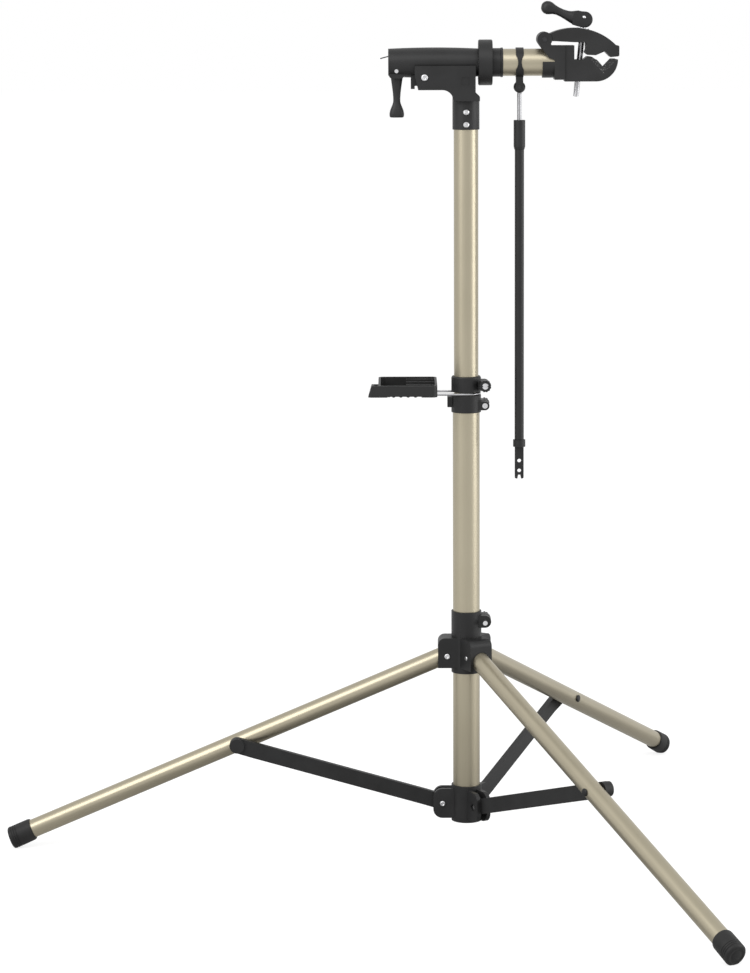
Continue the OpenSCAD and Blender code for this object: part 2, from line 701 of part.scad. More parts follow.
module head_barrel() color(plastic) {
  length = barrel_x1 - barrel_x0;
  crown_r = (length ^ 2 / 4 + barrel_crown ^ 2) / (2 * barrel_crown);
  difference() {
    union() {
      translate([barrel_x0, 0, arm_z]) rotate([0, 90, 0]) rotate_extrude() intersection() {
        square([barrel_r, length]);
        translate([barrel_r - crown_r, length / 2]) circle(crown_r, $fn = 1024);
      }
      side_slab(-lobe_half, lobe_half)
        round_rect(barrel_x0 + 1, lever_z - 9.5, lever_x + 10, arm_z + 4, 4);
      side_slab(-lug_half, lug_half) {
        translate([tilt_x - 17.5, tilt_z - 11]) square([32, 18]);
        translate([tilt_x - 17.5, tilt_z - 15]) square([5, 8]);
      }
    }
    bar_x(bush_r + fix_gap, spindle_x0, barrel_x1 + 1);
    bar_x(plunger_r + fix_gap, plunger_x - 3, spindle_x0 + 1);
    translate([barrel_x0 - 1, -lever_half - face_gap, lever_z - 16])
      cube([plunger_x - barrel_x0 + 1, 2 * (lever_half + face_gap), 28.5]);
    bar_y(lever_x, lever_z, lever_pin_r + fix_gap, -far, far);
    bar_y(tilt_x, tilt_z, tilt_bolt_r + run_gap, -far, far);
    translate([barrel_x0 - 1, 0, tail_wire_z]) rotate([0, 90, 0])
      cylinder(r = tail_wire_r + fix_gap, h = 9);
  }
}

module barrel_bushes() color("ivory") for (x = [spindle_x0, barrel_x1 - bush_len]) difference() {
  bar_x(bush_r, x, x + bush_len);
  bar_x(spindle_r + run_gap, x - 1, x + bush_len + 1);
}

module brake_plunger() color(steel) bar_x(plunger_r, plunger_x, plunger_x + plunger_len);

module lever_pin() color(steel) bar_y(lever_x, lever_z, lever_pin_r, -lever_pin_half, lever_pin_half);

// Bent safety wire that shows at the barrel's rear end
module tail_wire() color(steel) {
  translate([barrel_x0 - 1, 0, tail_wire_z]) rotate([0, 90, 0]) cylinder(r = tail_wire_r, h = 8);
  translate([barrel_x0 - 0.4, 0, tail_wire_z]) rotate([0, -105, 0]) cylinder(r = tail_wire_r, h = 10.1);
}

module quick_lever() {
  tip_z = lever_z - quick_lever_len;
  color(plastic) difference() {
    union() {
      bar_y(lever_x + cam_off, lever_z, cam_r, -lever_half, lever_half);
      side_slab(-lever_half, lever_half) polygon([
        [lever_x - 8.6, lever_z - 4], [lever_x + 8.6, lever_z - 4], [lever_x + 5.4, lever_z - 28],
        [lever_x + 5, tip_z + 22], [lever_x - 4.4, tip_z + 22], [lever_x - 4.8, lever_z - 28]
      ]);
      side_slab(-lever_half, lever_half) polygon([
        [lever_x - 4.4, tip_z + 24], [lever_x - 9.2, tip_z + 8], [lever_x - 8, tip_z],
        [lever_x + 8.6, tip_z], [lever_x + 9.8, tip_z + 8], [lever_x + 5, tip_z + 24]
      ]);
    }
    bar_y(lever_x, lever_z, lever_pin_r + run_gap, -far, far);
  }
}

module arm_spindle() color(steel) bar_x(spindle_r, spindle_x0, arm_x0 + boss_len - 4);

module index_ring() color(plastic) difference() {
  union() {
    bar_x(ring_r - 0.8, ring_x, ring_x + ring_w);
    bar_x(ring_r, ring_x + 0.8, ring_x + ring_w - 0.8);
    bar_x(arm_bore_r - fix_gap, ring_x, arm_x0 + boss_len);
  }
  bar_x(spindle_r + fix_gap, ring_x - 1, arm_x0 + boss_len - 4);
}

module arm_collar() color(plastic) difference() {
  union() {
    bar_x(arm_collar_r, arm_x0, arm_x0 + arm_collar_w);
    bar_x(arm_collar_r + 0.7, arm_x0 + arm_collar_w - collar_lip_w, arm_x0 + arm_collar_w);
  }
  bar_x(arm_r + fix_gap, arm_x0 - 1, arm_x0 + arm_collar_w + 1);
}

module arm_tube() color(champagne) difference() {
  bar_x(arm_r, arm_x0, arm_x1);
  bar_x(arm_bore_r, arm_x0 - 1, arm_x1 + 1);
}

// Runs along the leaning clamp rod: +Z is the rod's axis, the origin is on it between the jaws
module along_rod() translate([rod_x, 0, rod_z]) rotate([0, clamp_rod_lean, 0]) children();

// The lower jaw's V, grown by d
module vee_2d(d) polygon([
  [vee_x, vee_z - d * 1.45], [vee_x + 22 + d, vee_z + 23 - d * 0.4], [vee_x + 22, vee_z + 60],
  [vee_x - 20, vee_z + 60], [vee_x - 20 - d, vee_z + 23 - d * 0.4]
]);

// Outline of the clamp body with its lower jaw, in X and Z
module clamp_body_2d() {
  translate([arm_x1 - 4.7, body_low_z + 2.4])
    square([post_x1 - arm_x1 + 4.7, post_top_z - body_low_z - 2.4]);
  translate([post_recess_x, body_low_z]) square([nose_x - post_recess_x, slot_floor_z - body_low_z]);
  intersection() {
    translate([nose_x, body_low_z + nose_r]) circle(nose_r);
    translate([nose_x - 1, body_low_z]) square([nose_r + 1, nose_r]);
  }
  polygon([
    [rod_x + 3, slot_floor_z - 4], [rod_x + 3, slot_floor_z], [rod_x + 8, slot_floor_z + 4],
    [rod_x + 14, slot_floor_z + 3.4], [nose_x, slot_floor_z], [nose_x, slot_floor_z - 4]
  ]);
}

// Outline of the ears that carry the jaw pin
module jaw_ear_2d() {
  translate([jaw_x, jaw_z]) circle(jaw_boss_r);
  polygon([
    [jaw_x - 8, jaw_z - 5.3], [jaw_x + 5, jaw_z - 23], [arm_x1 + 2, arm_z],
    [arm_x1 + 2, post_top_z], [jaw_x + 8.5, post_top_z], [jaw_x + 7, jaw_z]
  ]);
}

module clamp_body() color(plastic) difference() {
  union() {
    side_slab(-jaw_half, jaw_half) difference() {
      clamp_body_2d();
      vee_2d(pad_t);
    }
    side_slab(-jaw_half, -knuckle_half) jaw_ear_2d();
    side_slab(knuckle_half, jaw_half) jaw_ear_2d();
    intersection() {
      bar_x(body_sleeve_r, socket_x, arm_x1);
      translate([0, -far / 2, arm_z - far]) cube([far, far, far + 1]);
    }
  }
  bar_x(arm_r + fix_gap, socket_x - 10, arm_x1);
  for (s = side_list) side_slab(s > 0 ? pad_half : -far, s > 0 ? far : -pad_half)
    translate([post_recess_x, body_low_z - 1]) square(far);
  bar_y(jaw_x, jaw_z, jaw_pin_r + fix_gap, -far, far);
  translate([jaw_x - 20, -knuckle_half, jaw_z - jaw_boss_r - 1.5]) cube([36, 2 * knuckle_half, 30]);
  along_rod() translate([0, 0, -far / 2]) cylinder(r = rod_slot_half, h = far / 2 - 9);
  along_rod() translate([0, 0, nut_z - rod_z - far])
    cylinder(d = nut_across + 0.4, h = far + nut_h, $fn = 6);
}

module jaw_pin() color(steel) bar_y(jaw_x, jaw_z, jaw_pin_r, -jaw_half - 0.6, jaw_half + 0.6);

module jaw_pad() color(rubber) side_slab(-pad_half, pad_half) difference() {
  intersection() {
    vee_2d(pad_t);
    union() {
      clamp_body_2d();
      translate([vee_x + 8, vee_z + 3]) round_rect(0, 0, 9.5, 7.5, 2);
    }
  }
  vee_2d(0);
}

module clamp_nut() color(steel) along_rod() translate([0, 0, nut_z - rod_z]) difference() {
  cylinder(d = nut_across, h = nut_h, $fn = 6);
  translate([0, 0, -1]) cylinder(r = clamp_rod_r + run_gap, h = nut_h + 2);
}

// Outline of the upper jaw, in X and Z
module upper_jaw_2d() {
  nose_tip_x = vee_x + 19;
  intersection() {
    translate([arch_x, arch_top_z - arch_r]) circle(arch_r);
    polygon([
      [jaw_x + 4, jaw_z + 30], [nose_tip_x, jaw_z + 30], [nose_tip_x, jaw_z - 22], [vee_x + 9, jaw_z - 23],
      [vee_x + 1.5, jaw_z - 15.5], [vee_x - 10, jaw_z - 20.5], [rod_x + 8, jaw_z - 20],
      [rod_x + 4.6, jaw_z - 17], [rod_x + 6.4, jaw_z - 13], [rod_x + 6.2, jaw_under_z],
      [post_x1, jaw_under_z], [jaw_x + 13, jaw_z - 2.4], [jaw_x + 4, jaw_z - 2.4]
    ]);
  }
  translate([nose_tip_x - 7, jaw_z - 22]) round_rect(0, 0, 8, 14, 2);
}

module upper_jaw() color(plastic) difference() {
  union() {
    difference() {
      side_slab(-jaw_half, jaw_half) upper_jaw_2d();
      for (s = side_list) bar_y(jaw_x, jaw_z, jaw_boss_r + face_gap, s > 0 ? knuckle_half - face_gap : -far,
        s > 0 ? far : -knuckle_half + face_gap);
    }
    bar_y(jaw_x, jaw_z, jaw_boss_r - 0.4, -knuckle_half + face_gap, knuckle_half - face_gap);
  }
  bar_y(jaw_x, jaw_z, jaw_pin_r + run_gap, -far, far);
  along_rod() {
    translate([-rod_slot_half, -rod_slot_half, -far / 2])
      cube([2 * rod_slot_half + rod_slot_len, 2 * rod_slot_half, far]);
    translate([0, 0, seat_up]) cylinder(r = washer_r + 1, h = far);
  }
}

module cam_washer() color(steel) along_rod() translate([0, 0, seat_up + face_gap]) difference() {
  cylinder(r = washer_r, h = washer_t);
  translate([0, 0, -1]) cylinder(r = clamp_rod_r + run_gap, h = washer_t + 2);
}

module clamp_rod() color(steel) along_rod() difference() {
  union() {
    translate([0, 0, -rod_low]) cylinder(r = clamp_rod_r, h = rod_low + cam_pin_up - 4);
    bar_y(0, cam_pin_up, 6, -eye_half, eye_half);
  }
  bar_y(0, cam_pin_up, cam_pin_r + fix_gap, -far, far);
}

module cam_pin() color(steel) along_rod() bar_y(0, cam_pin_up, cam_pin_r, -lever_width, lever_width);

// Outline of the cam lever round its pin: an eccentric head, a waisted handle and a bulbous end
module cam_lever_2d() {
  translate([0.5, -cam_head_drop]) circle(cam_head_r);
  polygon([[2, 4.6], [-7, 8.6], [-12, 7.6], [-15, -9.6], [2, -13.2]]);
  polygon([
    [-7, 8.6], [-12, 7.7], [-19, 8], [-27, 10.4], [-36, 15], [-41, 19], [-46, 8], [-42, 4],
    [-35, 2.8], [-27, -1.2], [-20, -5.4], [-15, -9.6]
  ]);
  translate([-45.6, 12.2]) circle(8.8);
}

module clamp_lever() color(plastic) along_rod() translate([0, 0, cam_pin_up]) difference() {
  rotate([0, -clamp_rod_lean, 0]) side_slab(-lever_width, lever_width) cam_lever_2d();
  bar_y(0, 0, cam_pin_r + run_gap, -far, far);
  side_slab(-eye_half - face_gap, eye_half + face_gap) {
    circle(cam_head_r - 2.5);
    translate([-rod_slot_half, -far]) square([far, far + clamp_rod_r + 2.2]);
  }
}

module holder_strap() color(plastic) {
  waist_r = 19;
  difference() {
    union() {
      bar_x(arm_r + run_gap + strap_t, holder_x - strap_w / 2, holder_x + strap_w / 2);
      side_slab(-fork_half, fork_half) translate([holder_x - 4.6, fork_z])
        square([9.2, holder_drop - arm_r + 2]);
      intersection() {
        translate([holder_x, 0, fork_z]) sphere(fork_r);
        side_slab(-fork_half, fork_half) translate([holder_x - far / 2, fork_z - far / 2]) square(far);
      }
    }
    bar_x(arm_r + run_gap, holder_x - far, holder_x + far);
    for (s = side_list) bar_y(holder_x + s * (waist_r + strap_waist / 2), arm_z, waist_r, -far, far);
    side_slab(-eye_t / 2 - face_gap, eye_t / 2 + face_gap)
      translate([holder_x - far / 2, fork_z - far]) square([far, far + 6.4]);
    bar_y(holder_x, fork_z, fork_pin_r + fix_gap, -far, far);
  }
}

module holder_pin() color(steel) bar_y(holder_x, fork_z, fork_pin_r, -fork_half, fork_half);

module inner_rod() color(steel) difference() {
  union() {
    bar_y(holder_x, fork_z, 5.4, -eye_t / 2, eye_t / 2);
    translate([holder_x, 0, 0]) post(inner_rod_d / 2, fork_z - inner_rod_len, fork_z - 4);
  }
  bar_y(holder_x, fork_z, fork_pin_r + run_gap, -far, far);
  translate([holder_x, 0, fork_z]) for (s = side_list)
    translate([-10, s > 0 ? eye_t / 2 : -eye_t / 2 - 10, -9]) cube([20, 10, 20]);
}

module lock_sleeve() color(plastic) translate([holder_x, 0, 0]) difference() {
  union() {
    post(sleeve_d / 2, fork_z - sleeve_top - sleeve_len, fork_z - sleeve_top);
    translate([0, 0, fork_z - sleeve_top - sleeve_len - 4])
      cylinder(r1 = holder_tube_d / 2 + 0.4, r2 = sleeve_d / 2, h = 4);
  }
  post(inner_rod_d / 2 + run_gap, fork_z - far, fork_z);
  post(holder_tube_d / 2 + fix_gap, fork_z - far, fork_z - sleeve_top - 8);
}

module holder_tube() color(plastic) translate([holder_x, 0, 0]) difference() {
  post(holder_tube_d / 2, fork_z - holder_len + end_len + 4, fork_z - sleeve_top - 8);
  post(holder_tube_bore, fork_z - holder_len, fork_z);
}

module holder_end() color(plastic) translate([holder_x, 0, fork_z - holder_len]) difference() {
  union() {
    difference() {
      post(holder_tube_d / 2 + 2, end_len, end_len + end_collar_len);
      post(holder_tube_d / 2 + fix_gap, end_len + 4, end_len + end_collar_len + 1);
    }
    side_slab(-end_t / 2, end_t / 2) round_rect(-end_w / 2, 0, end_w / 2, end_len + 2, 2);
  }
  for (z = [10.5, 23.5]) bar_y(0, z, end_hole_r, -far, far);
  side_slab(-far, far) polygon([[-2.6, -1], [2.6, -1], [1.4, 5], [-1.4, 5]]);
}

outer_tube();
lower_hub();
strut_screws();
mast_collar();
mast_bolt();
mast_knob();
leg_hub();
leg_screws();
hub_bolt();
hub_knob();
leg_names = ["left", "rear", "front"];
for (i = [0 : 2]) {
  leg_tube(i);
  leg_plug(i);
  foot_cap(i);
  leg_rivet(i);
  strut(i);
}
upper_tube();
stop_collar();
stop_bolt();
stop_knob();
tray();
tray_wire();
head_bracket();
bracket_screws();
tilt_bolt();
head_barrel();
barrel_bushes();
brake_plunger();
lever_pin();
tail_wire();
quick_lever();
arm_spindle();
index_ring();
arm_collar();
arm_tube();
clamp_body();
jaw_pin();
jaw_pad();
clamp_nut();
upper_jaw();
cam_washer();
clamp_rod();
cam_pin();
clamp_lever();
holder_strap();
holder_pin();
inner_rod();
lock_sleeve();
holder_tube();
holder_end();
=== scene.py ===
import math
import bmesh
import bpy
from mathutils import Matrix, Vector


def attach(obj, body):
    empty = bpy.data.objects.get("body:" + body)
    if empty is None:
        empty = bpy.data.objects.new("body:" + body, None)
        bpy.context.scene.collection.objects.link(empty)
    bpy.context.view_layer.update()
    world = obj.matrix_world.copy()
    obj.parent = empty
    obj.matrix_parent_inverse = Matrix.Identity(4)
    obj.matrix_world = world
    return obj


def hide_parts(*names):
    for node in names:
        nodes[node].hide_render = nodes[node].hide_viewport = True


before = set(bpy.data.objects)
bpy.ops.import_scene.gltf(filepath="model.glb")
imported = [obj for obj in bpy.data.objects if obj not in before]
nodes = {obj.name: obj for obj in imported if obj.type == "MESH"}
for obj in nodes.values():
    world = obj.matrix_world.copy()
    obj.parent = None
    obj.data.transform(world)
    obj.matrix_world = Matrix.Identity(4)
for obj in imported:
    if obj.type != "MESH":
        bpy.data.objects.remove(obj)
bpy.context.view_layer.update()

# Mast tubes: drawn aluminium tube, satin finished along its length and anodised champagne.
# The thick tube stands in the lower hub and the thinner one slides in it.
# Their walls are true cylinders already, so they are dressed without a softened edge.


def new_material(name):
    mat = bpy.data.materials.new(name)
    mat.use_nodes = True
    return mat, mat.node_tree.nodes, mat.node_tree.links, mat.node_tree.nodes["Principled BSDF"]


def add_noise(mat, where, scale, detail=2.0, rough=0.5):
    noise = mat.node_tree.nodes.new("ShaderNodeTexNoise")
    noise.inputs["Scale"].default_value = scale
    noise.inputs["Detail"].default_value = detail
    noise.inputs["Roughness"].default_value = rough
    mat.node_tree.links.new(where, noise.inputs["Vector"])
    return noise.outputs["Fac"]


def colour_by(mat, value, low, low_colour, high, high_colour):
    ramp = mat.node_tree.nodes.new("ShaderNodeValToRGB")
    for stop, at, colour in zip(ramp.color_ramp.elements, (low, high), (low_colour, high_colour)):
        stop.position = at
        stop.color = (*colour, 1)
    skin = mat.node_tree.nodes["Principled BSDF"]
    mat.node_tree.links.new(value, ramp.inputs["Fac"])
    mat.node_tree.links.new(ramp.outputs["Color"], skin.inputs["Base Color"])


def gloss_by(mat, value, low, high):
    gloss = mat.node_tree.nodes.new("ShaderNodeMapRange")
    gloss.inputs["To Min"].default_value = low
    gloss.inputs["To Max"].default_value = high
    skin = mat.node_tree.nodes["Principled BSDF"]
    mat.node_tree.links.new(value, gloss.inputs["Value"])
    mat.node_tree.links.new(gloss.outputs["Result"], skin.inputs["Roughness"])


def bump_by(mat, value, strength, depth):
    bump = mat.node_tree.nodes.new("ShaderNodeBump")
    bump.inputs["Strength"].default_value = strength
    bump.inputs["Distance"].default_value = depth
    skin = mat.node_tree.nodes["Principled BSDF"]
    mat.node_tree.links.new(value, bump.inputs["Height"])
    mat.node_tree.links.new(bump.outputs["Normal"], skin.inputs["Normal"])


def champagne_anodised(name, turn=(0.0, 0.0, 0.0)):
    mat, tree, link, skin = new_material(name)
    place = tree.new("ShaderNodeTexCoord")
    lay = tree.new("ShaderNodeMapping")
    lay.vector_type = "TEXTURE"
    lay.inputs["Rotation"].default_value = turn
    link.new(place.outputs["Object"], lay.inputs["Vector"])
    stretch = tree.new("ShaderNodeMapping")
    stretch.inputs["Scale"].default_value = (2600.0, 2600.0, 14.0)
    link.new(lay.outputs["Vector"], stretch.inputs["Vector"])
    drawn = add_noise(mat, stretch.outputs["Vector"], 1.0, 3.0)
    cloud = add_noise(mat, lay.outputs["Vector"], 9.0)
    both = tree.new("ShaderNodeMix")
    both.inputs["Factor"].default_value = 0.55
    link.new(drawn, both.inputs["A"])
    link.new(cloud, both.inputs["B"])
    colour_by(mat, both.outputs["Result"], 0.3, (0.364, 0.328, 0.242), 0.7, (0.41, 0.371, 0.28))
    gloss_by(mat, drawn, 0.31, 0.43)
    bump_by(mat, drawn, 0.08, 0.00003)
    skin.inputs["Metallic"].default_value = 0.9
    return mat


def dress(names, material, edge=0.0, steps=2):
    for name in names:
        part = nodes[name]
        part.data.materials.clear()
        part.data.materials.append(material)
        if edge == 0.0:
            continue
        weld = part.modifiers.new("weld", "WELD")
        weld.merge_threshold = 0.000002
        soften = part.modifiers.new("edge", "BEVEL")
        soften.width = edge
        soften.segments = steps
        soften.limit_method = "ANGLE"
        soften.angle_limit = math.radians(38)
        soften.use_clamp_overlap = True
        smooth = part.modifiers.new("shade", "WEIGHTED_NORMAL")
        smooth.keep_sharp = False
        smooth.weight = 80


mast_finish = champagne_anodised("champagne_mast")
dress(["outer_tube", "upper_tube"], mast_finish)

# Hubs, collars and knobs: black glass filled nylon mouldings with a fine spark grain.
# The lower hub is pressed on the tube; the leg hub and the collars are split and drawn shut by a bolt.


def moulded_black(name, tone=(0.0105, 0.0105, 0.0108), rough=(0.42, 0.56), grain=1700.0):
    mat, tree, _, skin = new_material(name)
    place = tree.new("ShaderNodeTexCoord").outputs["Object"]
    spark = add_noise(mat, place, grain, 3.0, 0.6)
    flow = add_noise(mat, place, 38.0)
    colour_by(mat, flow, 0.32, [part * 0.8 for part in tone], 0.7, [part * 1.25 for part in tone])
    gloss_by(mat, flow, *rough)
    bump_by(mat, spark, 0.22, 0.00008)
    skin.inputs["Specular IOR Level"].default_value = 0.34
    return mat


hub_black = moulded_black("hub_black")
dress(["leg_hub", "mast_collar", "stop_collar"], hub_black, 0.0011, 3)
dress(["lower_hub"], moulded_black("lower_hub_black", (0.0175, 0.0175, 0.0178)), 0.0011, 3)
dress(["mast_knob", "hub_knob", "stop_knob"], hub_black, 0.0008, 3)

# Pivot screws: zinc plated steel button heads with a hexagon socket, turned and cold headed.
# One goes through each leg's box and each pair of strut ears, two hold the head and one is its tilt pivot.


def bright_zinc(name, tone=(0.62, 0.62, 0.63), rough=(0.2, 0.34)):
    mat, tree, _, skin = new_material(name)
    place = tree.new("ShaderNodeTexCoord").outputs["Object"]
    marks = add_noise(mat, place, 1400.0, 4.0)
    bloom = add_noise(mat, place, 160.0)
    colour_by(mat, bloom, 0.35, [part * 0.9 for part in tone], 0.68, [part * 1.08 for part in tone])
    gloss_by(mat, marks, *rough)
    skin.inputs["Metallic"].default_value = 1.0
    return mat


def frame_at(origin, along):
    turn = Vector(along).to_track_quat("Z", "Y")
    return Matrix.Translation(Vector(origin)) @ turn.to_matrix().to_4x4()


def join_loops(shape, loops):
    for low, high in zip(loops, loops[1:]):
        for step in range(len(low)):
            after = (step + 1) % len(low)
            shape.faces.new((low[step], low[after], high[after], high[step]))


def add_turned(shape, rings, place, sides=48):
    loops = []
    for radius, height, flats in rings:
        loop = []
        for step in range(sides):
            turn = 2 * math.pi * step / sides
            reach = radius
            if flats:
                sector = math.pi / flats
                reach = radius / math.cos((turn + sector) % (2 * sector) - sector)
            spot = Vector((reach * math.cos(turn), reach * math.sin(turn), height))
            loop.append(shape.verts.new(place @ spot))
        loops.append(loop)
    join_loops(shape, loops)
    shape.faces.new(list(reversed(loops[0])))
    shape.faces.new(loops[-1])


def make_piece(name, shape, material, body, stands_for, sharp=32):
    bmesh.ops.recalc_face_normals(shape, faces=shape.faces)
    mesh = bpy.data.meshes.new(name)
    shape.to_mesh(mesh)
    shape.free()
    mesh.shade_smooth()
    mesh.set_sharp_from_angle(angle=math.radians(sharp))
    mesh.materials.append(material)
    made = bpy.data.objects.new(name, mesh)
    bpy.context.scene.collection.objects.link(made)
    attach(made, body)
    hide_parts(*stands_for)


def button_screw(head, rise, shank, length, socket):
    return [(shank * 0.75, -length, 0), (shank, -length + 0.0006, 0), (shank, 0.0, 0),
            (head * 0.97, 0.0, 0), (head, 0.0002, 0), (head, rise * 0.3, 0), (head * 0.95, rise * 0.6, 0),
            (head * 0.83, rise * 0.86, 0), (head * 0.68, rise, 0), (socket * 1.3, rise, 0),
            (socket, rise - 0.0003, 6), (socket, rise - 0.0019, 6)]


zinc = bright_zinc("bright_zinc")
bearings = (("left", math.radians(180)), ("rear", math.radians(60)), ("front", math.radians(300)))
strut_pivot_r, strut_pivot_z, ear_half = 0.0315, 0.060, 0.010
leg_pivot_r, leg_pivot_z, box_half = 0.0253, 0.2570912, 0.0161
socket_r, socket_screw_heights = 0.01685, (0.9506, 0.9668)
tilt_x, tilt_z, cheek_out = -0.0535, 1.0114, 0.0245
to_camera, to_back = (0, -1, 0), (0, 1, 0)

screws = bmesh.new()
for _, turn in bearings:
    out = Vector((math.cos(turn), math.sin(turn), 0))
    along = Vector((-math.sin(turn), math.cos(turn), 0))
    add_turned(screws, button_screw(head=0.0039, rise=0.0024, shank=0.003, length=0.018, socket=0.0016),
               frame_at(out * strut_pivot_r + along * ear_half + Vector((0, 0, strut_pivot_z)), along))
make_piece("strut_pivot_screws", screws, zinc, "mast_base", ["strut_screws"])

screws = bmesh.new()
for _, turn in bearings:
    out = Vector((math.cos(turn), math.sin(turn), 0))
    along = Vector((-math.sin(turn), math.cos(turn), 0))
    add_turned(screws, button_screw(head=0.0040, rise=0.0022, shank=0.003, length=0.0328, socket=0.0016),
               frame_at(out * leg_pivot_r + along * box_half + Vector((0, 0, leg_pivot_z)), along))
make_piece("leg_pivot_screws", screws, zinc, "leg_hub", ["leg_screws"])

screws = bmesh.new()
for height in socket_screw_heights:
    add_turned(screws, button_screw(head=0.0041, rise=0.0028, shank=0.0025, length=0.0343, socket=0.0014),
               frame_at((0, -socket_r, height), to_camera))
    add_turned(screws, [(0.0034, 0.0, 6), (0.0035, 0.0002, 6), (0.0035, 0.0024, 6), (0.0031, 0.0026, 0)],
               frame_at((0, socket_r, height), to_back))
make_piece("head_screws", screws, zinc, "upper_mast", ["bracket_screws"])

screws = bmesh.new()
add_turned(screws, button_screw(head=0.0046, rise=0.0026, shank=0.004, length=0.049, socket=0.0018),
           frame_at((tilt_x, -cheek_out, tilt_z), to_camera))
add_turned(screws, [(0.0059, 0.0, 6), (0.0061, 0.0003, 6), (0.0061, 0.0046, 6), (0.0054, 0.005, 0)],
           frame_at((tilt_x, cheek_out, tilt_z), to_back))
make_piece("tilt_pivot_bolt", screws, zinc, "upper_mast", ["tilt_bolt"])

# Clamp bolts, nut, washer, plunger, spindle, pins and wires: turned or drawn steel, bright zinc plated.
# The bolts run through the split ears into the knobs; jaw pin, holder pin and rear wire are blackened.
dress(["mast_bolt", "hub_bolt", "lever_pin", "cam_washer", "clamp_nut", "brake_plunger"], zinc, 0.0005, 3)
drawn_steel = bright_zinc("drawn_steel", (0.36, 0.36, 0.37), (0.16, 0.3))
dress(["tray_wire", "inner_rod", "arm_spindle"], drawn_steel, 0.0003)
blackened = bright_zinc("blackened_steel", (0.05, 0.05, 0.052), (0.25, 0.4))
dress(["jaw_pin", "holder_pin", "tail_wire"], blackened, 0.0004)

# Stop collar's bolt: a zinc plated screw through the collar's ears, with a nut at the far side.
# Its slotted head shows in the knob's face, where a coin or a driver turns it.
stop_x, stop_z, ear_back, knob_face = 0.0242, 0.6130, 0.0124, -0.025
head_seat, slot_edge, arc_points = 0.0006, 14, 17
bolt = bmesh.new()
add_turned(bolt, [(0.0046, 0.0, 6), (0.0048, 0.0004, 6), (0.0048, 0.0037, 6), (0.0042, 0.0041, 0)],
           frame_at((stop_x, ear_back, stop_z), to_back))
add_turned(bolt, [(0.003, 0.0, 0), (0.003, 0.0366, 0)], frame_at((stop_x, ear_back, stop_z), to_camera))
for side in (-1, 1):
    half_disc = []
    for depth, reach in ((0.0, 0.0041), (0.0008, 0.0043), (0.0014, 0.0039)):
        loop = []
        for step in range(arc_points):
            turn = math.radians(slot_edge + (180 - 2 * slot_edge) * step / (arc_points - 1))
            loop.append(bolt.verts.new((stop_x + reach * math.cos(turn), knob_face + head_seat - depth,
                                        stop_z + side * reach * math.sin(turn))))
        half_disc.append(loop)
    join_loops(bolt, half_disc)
    bolt.faces.new(half_disc[0])
    bolt.faces.new(half_disc[-1])
make_piece("slotted_stop_bolt", bolt, zinc, "stop_knob", ["stop_bolt"])

# Legs: three champagne tubes with a nylon tongue in the upper end, which turns on the hub's screw.
# A domed nylon rivet through each tube holds its strut.
leg_fall = math.radians(23.05)
leg_r, strut_at = 0.012, 0.299
for side, turn in bearings:
    leg_finish = champagne_anodised("champagne_leg_" + side, (0.0, math.radians(90) + leg_fall, turn))
    dress(["leg_tube_" + side], leg_finish)
dress(["leg_plug_left", "leg_plug_rear", "leg_plug_front"], hub_black, 0.0004)


def down_leg(turn, reach):
    out = Vector((math.cos(turn), math.sin(turn), 0))
    way = out * math.cos(leg_fall) - Vector((0, 0, math.sin(leg_fall)))
    return out * leg_pivot_r + Vector((0, 0, leg_pivot_z)) + way * reach, way


for side, turn in bearings:
    across = Vector((math.sin(turn), -math.cos(turn), 0))
    spot, _ = down_leg(turn, strut_at)
    rivet = bmesh.new()
    add_turned(rivet, [(0.0035, -2 * leg_r, 0), (0.0035, 0.0, 0), (0.0049, 0.0, 0), (0.005, 0.0003, 0),
                       (0.005, 0.0009, 0), (0.0047, 0.0016, 0), (0.0039, 0.0021, 0), (0.0026, 0.0024, 0),
                       (0.001, 0.0025, 0)],
               frame_at(spot + across * leg_r, across), 36)
    make_piece("domed_rivet_" + side, rivet, hub_black, "leg_" + side,
               ["leg_rivet_" + side], 40)

# Feet: rubber cups moulded with grip rings and pushed over the ends of the legs.
# Each one is worn flat where it stands on the floor.


def foot_rubber(name):
    mat, tree, _, skin = new_material(name)
    place = tree.new("ShaderNodeTexCoord").outputs["Object"]
    tooth = add_noise(mat, place, 900.0, 4.0)
    dust = add_noise(mat, place, 60.0, 4.0)
    colour_by(mat, dust, 0.35, (0.009, 0.009, 0.009), 0.75, (0.018, 0.018, 0.0175))
    gloss_by(mat, tooth, 0.5, 0.68)
    bump_by(mat, tooth, 0.25, 0.0001)
    skin.inputs["Specular IOR Level"].default_value = 0.34
    return mat


